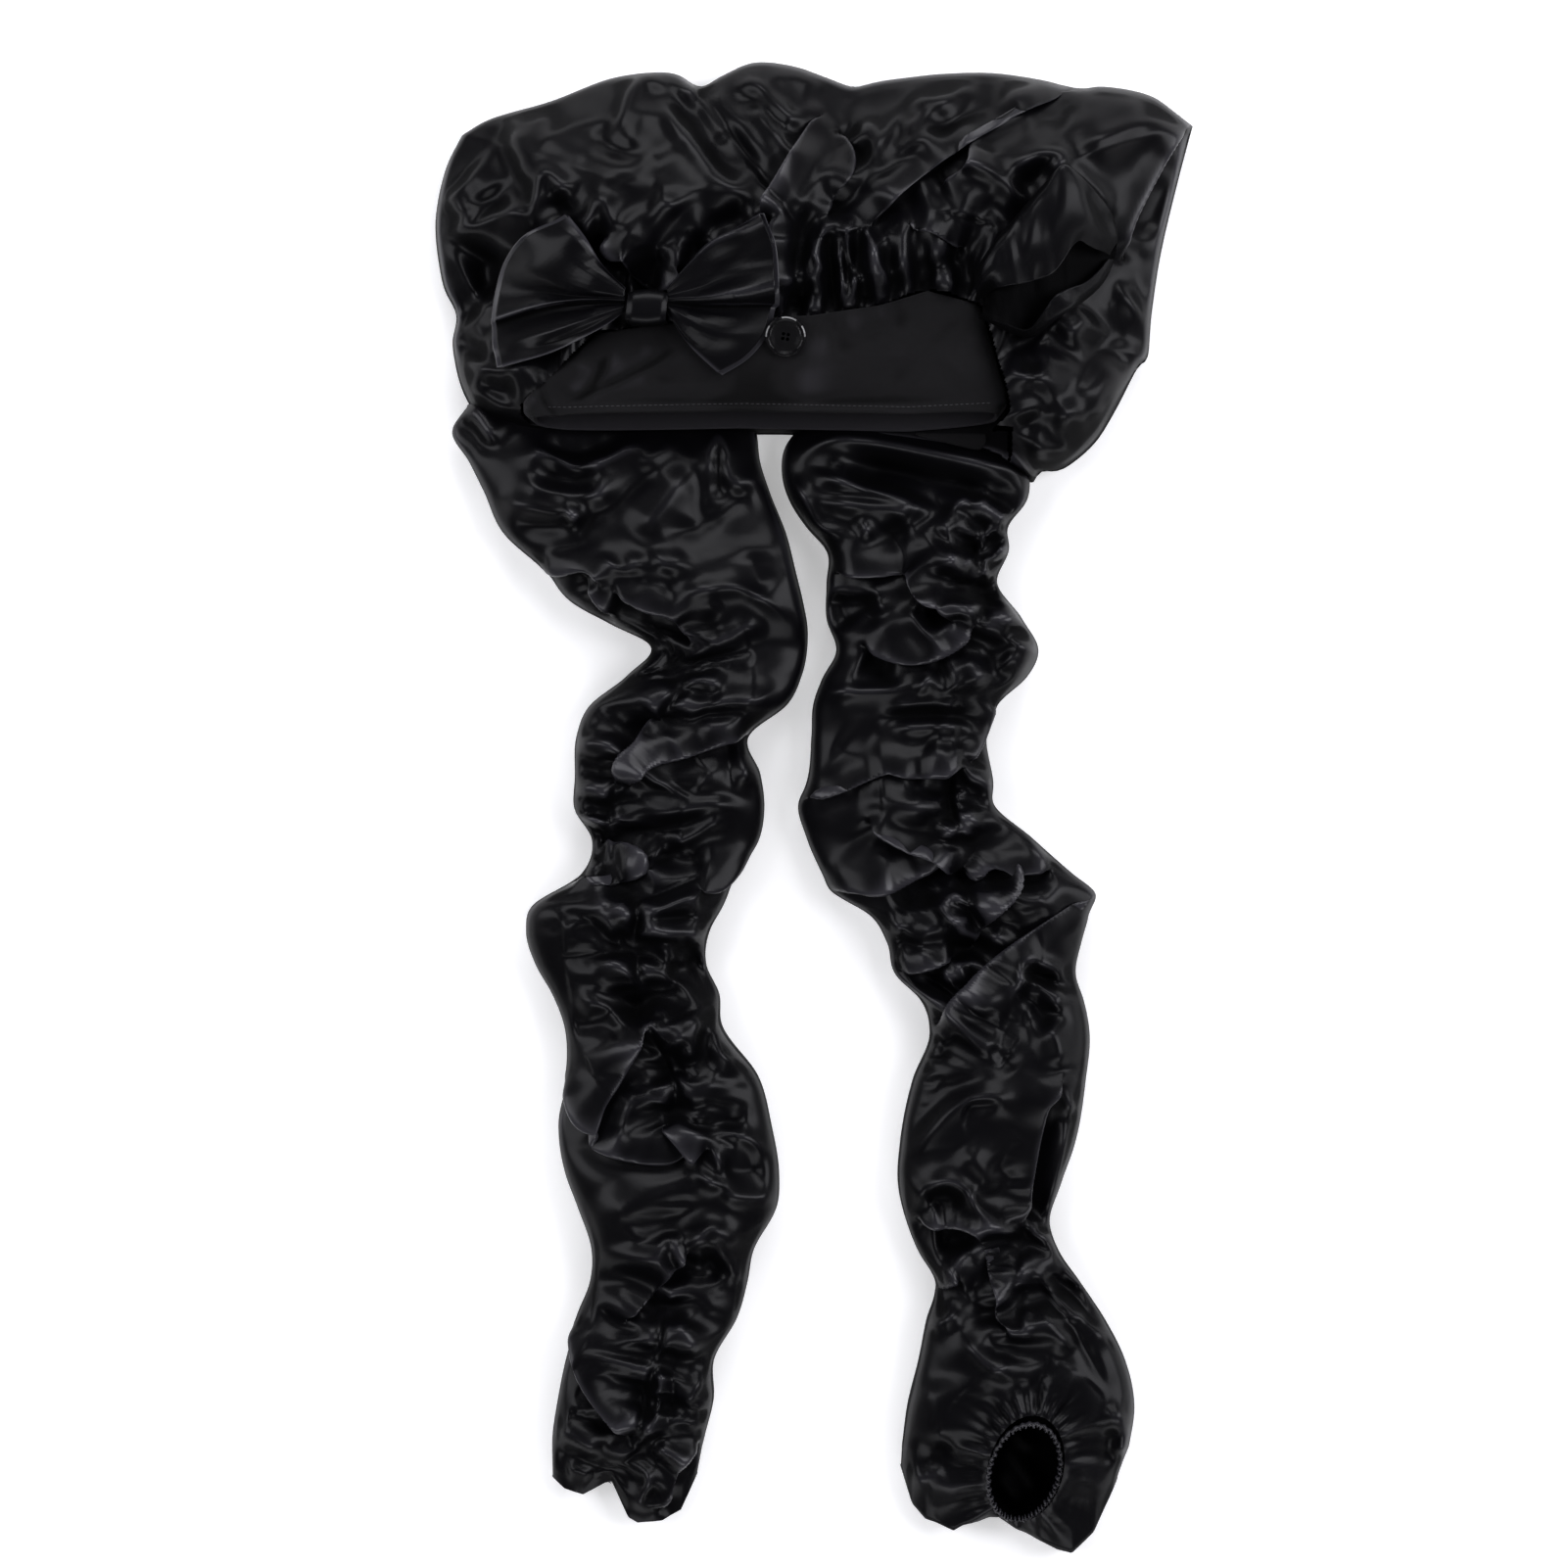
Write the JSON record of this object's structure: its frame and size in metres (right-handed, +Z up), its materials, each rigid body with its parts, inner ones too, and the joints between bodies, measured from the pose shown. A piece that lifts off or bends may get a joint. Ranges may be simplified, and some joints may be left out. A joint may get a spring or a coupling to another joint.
{
  "type": "sleep bonnet",
  "caption": "Braid sleep bonnet lying flat: puffed satin crown on a wide jersey headband with a bow and button, and long ruched sleeves for braids.",
  "frame": {"origin": "on the floor, under the centre of the outline seen from above", "axes": "+X to the wearer's left side of the band as it faces up, +Y from the sleeves' open ends towards the top of the crown, +Z up from the floor the bonnet lies on"},
  "size_m": [0.405, 0.793, 0.0819],
  "materials": {
    "satin": "smooth satin with a soft sheen, black",
    "jersey": "matt fine knit, black",
    "button": "polished, black"
  },
  "bodies": {
    "root": {"crown": "satin", "headband": "jersey", "sleeve_left": "satin", "sleeve_right": "satin", "bow_knot": "satin", "bow_wing_left": "satin", "bow_wing_right": "satin", "side_loop": "satin", "hem_left": "satin", "hem_right": "satin", "lining_corner": "satin", "button": "button"}
  },
  "joints": []
}
